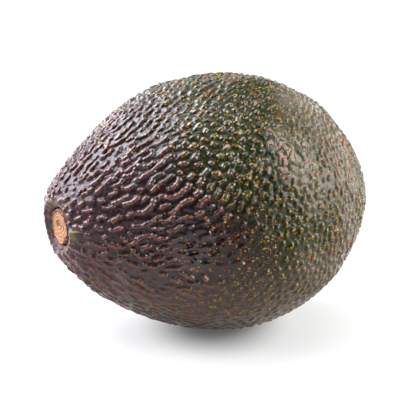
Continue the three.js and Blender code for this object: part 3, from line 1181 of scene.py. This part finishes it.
def stalkMaterial(finish):
    material, tree, shader = newMaterial("stalkWood")
    place = tree.nodes.new("ShaderNodeTexCoord").outputs["Object"]
    blotch = placeGroup(tree, mottle, Vector=place, Size=finish["blotchSize"])
    grain = placeGroup(tree, mottle, Vector=place, **finish["grain"])
    pores = placeGroup(tree, speckle, Vector=place, **finish["pores"])
    ring = attribute(tree, "ring")
    shade = times(tree, ring, spread(tree, blotch["Height"], *finish["ringPatches"]))
    wood = mixColor(tree, shade, finish["paleWood"], finish["ringWood"])
    wood = mixColor(tree, times(tree, pores["Mask"], finish["poreShare"]), wood, finish["pore"])
    pith = spread(tree, attribute(tree, "fromPith"), *finish["pithFade"])
    pith = times(tree, pith, spread(tree, ring, *finish["pithRings"]))
    wood = mixColor(tree, pith, wood, finish["pithBrown"])
    rim = mixColor(tree, grain["Mask"], finish["bark"], finish["barkLight"])
    color = mixColor(tree, attribute(tree, "bark"), wood, rim)
    plug(tree, shader.inputs["Base Color"], color)
    roughness = spread(tree, grain["Height"], 0.3, 0.7, *finish["roughness"])
    plug(tree, shader.inputs["Roughness"], roughness)
    addBump(tree, shader, grain["Height"], finish["bumpDepth"], finish["bumpStrength"])
    return material


stalk.data.materials.append(stalkMaterial(stalkFinish))
print("stalk material made")


# stage

paleFloor = {
    "reach": 6,
    "white": (0.155, 0.155, 0.155, 1),
    "shade": (0.145, 0.145, 0.145, 1),
    "blotch": {"Size": 0.3, "Low": 0.3, "High": 0.7},
    "bounce": (0.36, 0.35, 0.34, 1),  # what the fruit gets back from the floor
    "roughness": 0.9,
    "paintedLightAndShadow": (0.1, 0.58, 0.2),  # floor glow, strength under the fruit, round it and further out: dim underneath as a painted shadow
    "glowGiven": (0.2, 1.0),  # how much of that reaches the fruit, near it and behind it
    "paintedShadowSize": inMm(14, 25),  # half size of the painted shadow spot under the fruit, across and along the view
    "shift": 2.5 * mm,  # of that spot, to the picture's right
    "near": (0.35, 1.6),  # in that half size
    "far": (1.4, 3.2),
    "behind": (0.4, 2.6),
}


def makeFloor(floor):
    mesh = bpy.data.meshes.new("paleFloor")
    r = floor["reach"]
    mesh.from_pydata([(-r, -r, 0), (r, -r, 0), (r, r, 0), (-r, r, 0)], [], [(0, 1, 2, 3)])
    plane = addObject("paleFloor", mesh)
    material, tree, shader = newMaterial("paleFloor")
    place = tree.nodes.new("ShaderNodeTexCoord").outputs["Object"]
    blotch = placeGroup(tree, mottle, Vector=place, **floor["blotch"])
    seen = mixColor(tree, blotch["Mask"], floor["white"], floor["shade"])
    path = tree.nodes.new("ShaderNodeLightPath").outputs["Is Camera Ray"]
    plug(tree, shader.inputs["Base Color"], mixColor(tree, path, floor["bounce"], seen))
    shader.inputs["Roughness"].default_value = floor["roughness"]
    shader.inputs["Specular IOR Level"].default_value = 0
    shader.inputs["Emission Color"].default_value = (1, 1, 1, 1)
    right, _, _ = viewAxes(photoView["azimuth"], 0)
    paintedShadowSpot = tree.nodes.new("ShaderNodeMapping")
    paintedShadowSpot.vector_type = "TEXTURE"
    paintedShadowSpot.inputs["Location"].default_value = right * floor["shift"]
    paintedShadowSpot.inputs["Rotation"].default_value = (0, 0, photoView["azimuth"])
    paintedShadowSpot.inputs["Scale"].default_value = (*floor["paintedShadowSize"], 1)
    plug(tree, paintedShadowSpot.inputs["Vector"], place)
    away = vectorMaths(tree, "LENGTH", paintedShadowSpot.outputs[0])["Value"]
    # painted shadow: the floor's glow dims in a spot under the fruit
    under, around, out = floor["paintedLightAndShadow"]
    paintedLightAndShadow = spread(tree, away, *floor["near"], under, under + around)
    paintedLightAndShadow = maths(tree, "ADD", paintedLightAndShadow, spread(tree, away, *floor["far"], 0.0, out))
    behind = tree.nodes.new("ShaderNodeSeparateXYZ")
    plug(tree, behind.inputs[0], paintedShadowSpot.outputs[0])
    given = spread(tree, behind.outputs["Y"], *floor["behind"], *floor["glowGiven"])
    more = maths(tree, "SUBTRACT", paintedLightAndShadow, given)
    plug(tree, shader.inputs["Emission Strength"], maths(tree, "MULTIPLY_ADD", more, path, given))
    mesh.materials.append(material)


makeFloor(paleFloor)

softLights = {  # place to the photo's right, up and towards the camera in metres, size, watts and tint
    "topLight": ((-0.1, 1.0, -0.1), (1.0, 1.0), 5.5, (1.0, 1.0, 1.0)),
    "backLight": ((-0.3, 0.75, -0.6), (1.0, 0.6), 2, (1.0, 1.0, 1.0)),
    "leftLight": ((-0.7, 0.66, -0.16), (0.9, 0.9), 36.5, (0.97, 0.93, 1.06)),
    "rightLight": ((0.95, 0.36, 0.12), (0.8, 0.8), 24, (1.0, 0.98, 0.95)),
    "rimLight": ((0.65, 0.08, -0.75), (0.5, 0.4), 1, (1.0, 1.0, 0.97)),
}


def makeLights(lights):
    right, up, back = viewAxes(photoView["azimuth"], 0)
    aim = (cadLow + cadHigh) / 2
    for name, ((x, y, z), size, watts, tint) in lights.items():
        way = right * x + up * y + back * z
        data = bpy.data.lights.new(name, "AREA")
        data.shape = "RECTANGLE"
        data.size, data.size_y = size
        data.energy = watts
        data.color = tint
        lookAlong(addObject(name, data), aim + way, -way)


makeLights(softLights)

studioWhite = {
    "behind": (0.35, 0.9, 0.02, 1.1),  # where it brightens away from the camera, and from what to what
    "above": (0.1, 0.6, 1.0, 0.12),  # and where it dims upwards
}


def makeWorld(studio):  # bright behind the fruit, dim on the camera's side, plain white in the picture
    world = bpy.data.worlds.new("whiteStudio")
    world.use_nodes = True
    tree = world.node_tree
    background = tree.nodes["Background"]
    background.inputs["Color"].default_value = (1, 1, 1, 1)
    direction = tree.nodes.new("ShaderNodeTexCoord").outputs["Generated"]
    _, _, back = viewAxes(photoView["azimuth"], 0)
    away = vectorMaths(tree, "DOT_PRODUCT", direction, -back)["Value"]
    grade = spread(tree, away, *studio["behind"])
    height = tree.nodes.new("ShaderNodeSeparateXYZ")
    plug(tree, height.inputs[0], direction)
    grade = times(tree, grade, spread(tree, height.outputs["Z"], *studio["above"]))
    path = tree.nodes.new("ShaderNodeLightPath")
    seen = tree.nodes.new("ShaderNodeMix")
    seen.inputs["B"].default_value = 1
    plug(tree, seen.inputs["Factor"], path.outputs["Is Camera Ray"])
    plug(tree, seen.inputs["A"], grade)
    plug(tree, background.inputs["Strength"], seen.outputs["Result"])
    bpy.context.scene.world = world
    bpy.context.scene.view_settings.view_transform = "Standard"


makeWorld(studioWhite)
print("stage made")
